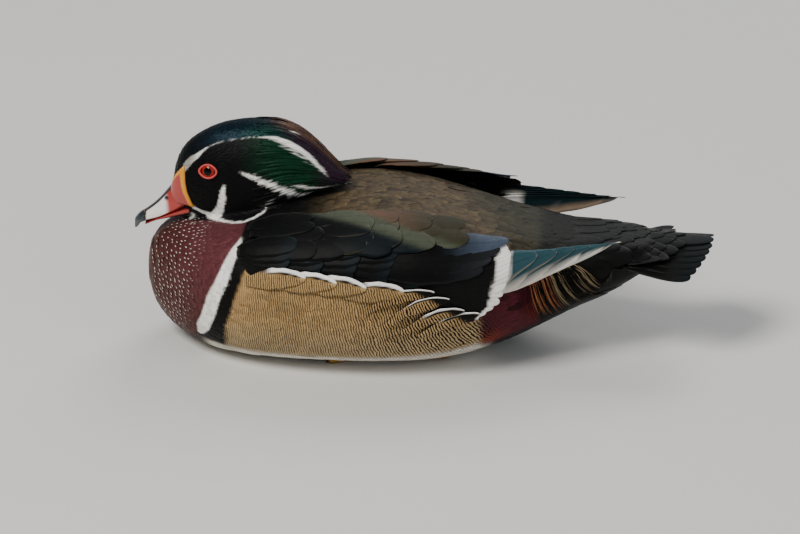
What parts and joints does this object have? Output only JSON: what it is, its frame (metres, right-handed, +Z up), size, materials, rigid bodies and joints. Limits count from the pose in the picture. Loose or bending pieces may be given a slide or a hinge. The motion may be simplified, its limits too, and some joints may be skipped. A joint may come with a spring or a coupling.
{
  "type": "wood duck",
  "caption": "Life-size drake wood duck resting on its belly, neck drawn in, wings folded, for still display.",
  "frame": {"origin": "on the flat under the belly, below the middle of the body, at the height of the surface it rests on", "axes": "+X towards the tail, -X towards the bill, +Z up, the bird's left side faces -Y"},
  "size_m": [0.3591, 0.1646, 0.1434],
  "materials": {
    "head_feathers": "glossy iridescent green and black feathers with white stripes",
    "crest_feathers": "long glossy purple and bronze feathers with white stripes",
    "bill_horn": "smooth red horn with a white patch, yellow edge and black ridge",
    "bill_nail": "smooth black horn",
    "eye": "wet red eye with a black pupil",
    "eyelid": "bare red skin",
    "breast_feathers": "soft maroon feathers with small white flecks",
    "back_feathers": "soft bronze brown feathers",
    "flank_feathers": "soft buff feathers with fine wavy dark lines",
    "wing_feathers": "sleek blue-black and teal feathers with white tips",
    "scapular_feathers": "sleek olive and bronze feathers",
    "rump_plumes": "loose maroon and orange hair-like feathers",
    "tail_feathers": "sleek green-black feathers",
    "foot_skin": "scaly straw-yellow skin with dark webs"
  },
  "bodies": {
    "root": {"head": "head_feathers", "crest": "crest_feathers", "bill_upper": "bill_horn", "bill_lower": "bill_horn", "bill_nail": "bill_nail", "eye_left": "eye", "eye_right": "eye", "eyelid_left": "eyelid", "eyelid_right": "eyelid", "neck": "breast_feathers", "breast": "breast_feathers", "torso": "back_feathers", "rump": "back_feathers", "flank_left": "flank_feathers", "flank_right": "flank_feathers", "wing_left": "wing_feathers", "wing_right": "wing_feathers", "scapulars_left": "scapular_feathers", "scapulars_right": "scapular_feathers", "plumes_left": "rump_plumes", "plumes_right": "rump_plumes", "tail": "tail_feathers", "leg_left": "foot_skin", "leg_right": "foot_skin", "foot_left": "foot_skin", "foot_right": "foot_skin"}
  },
  "joints": []
}
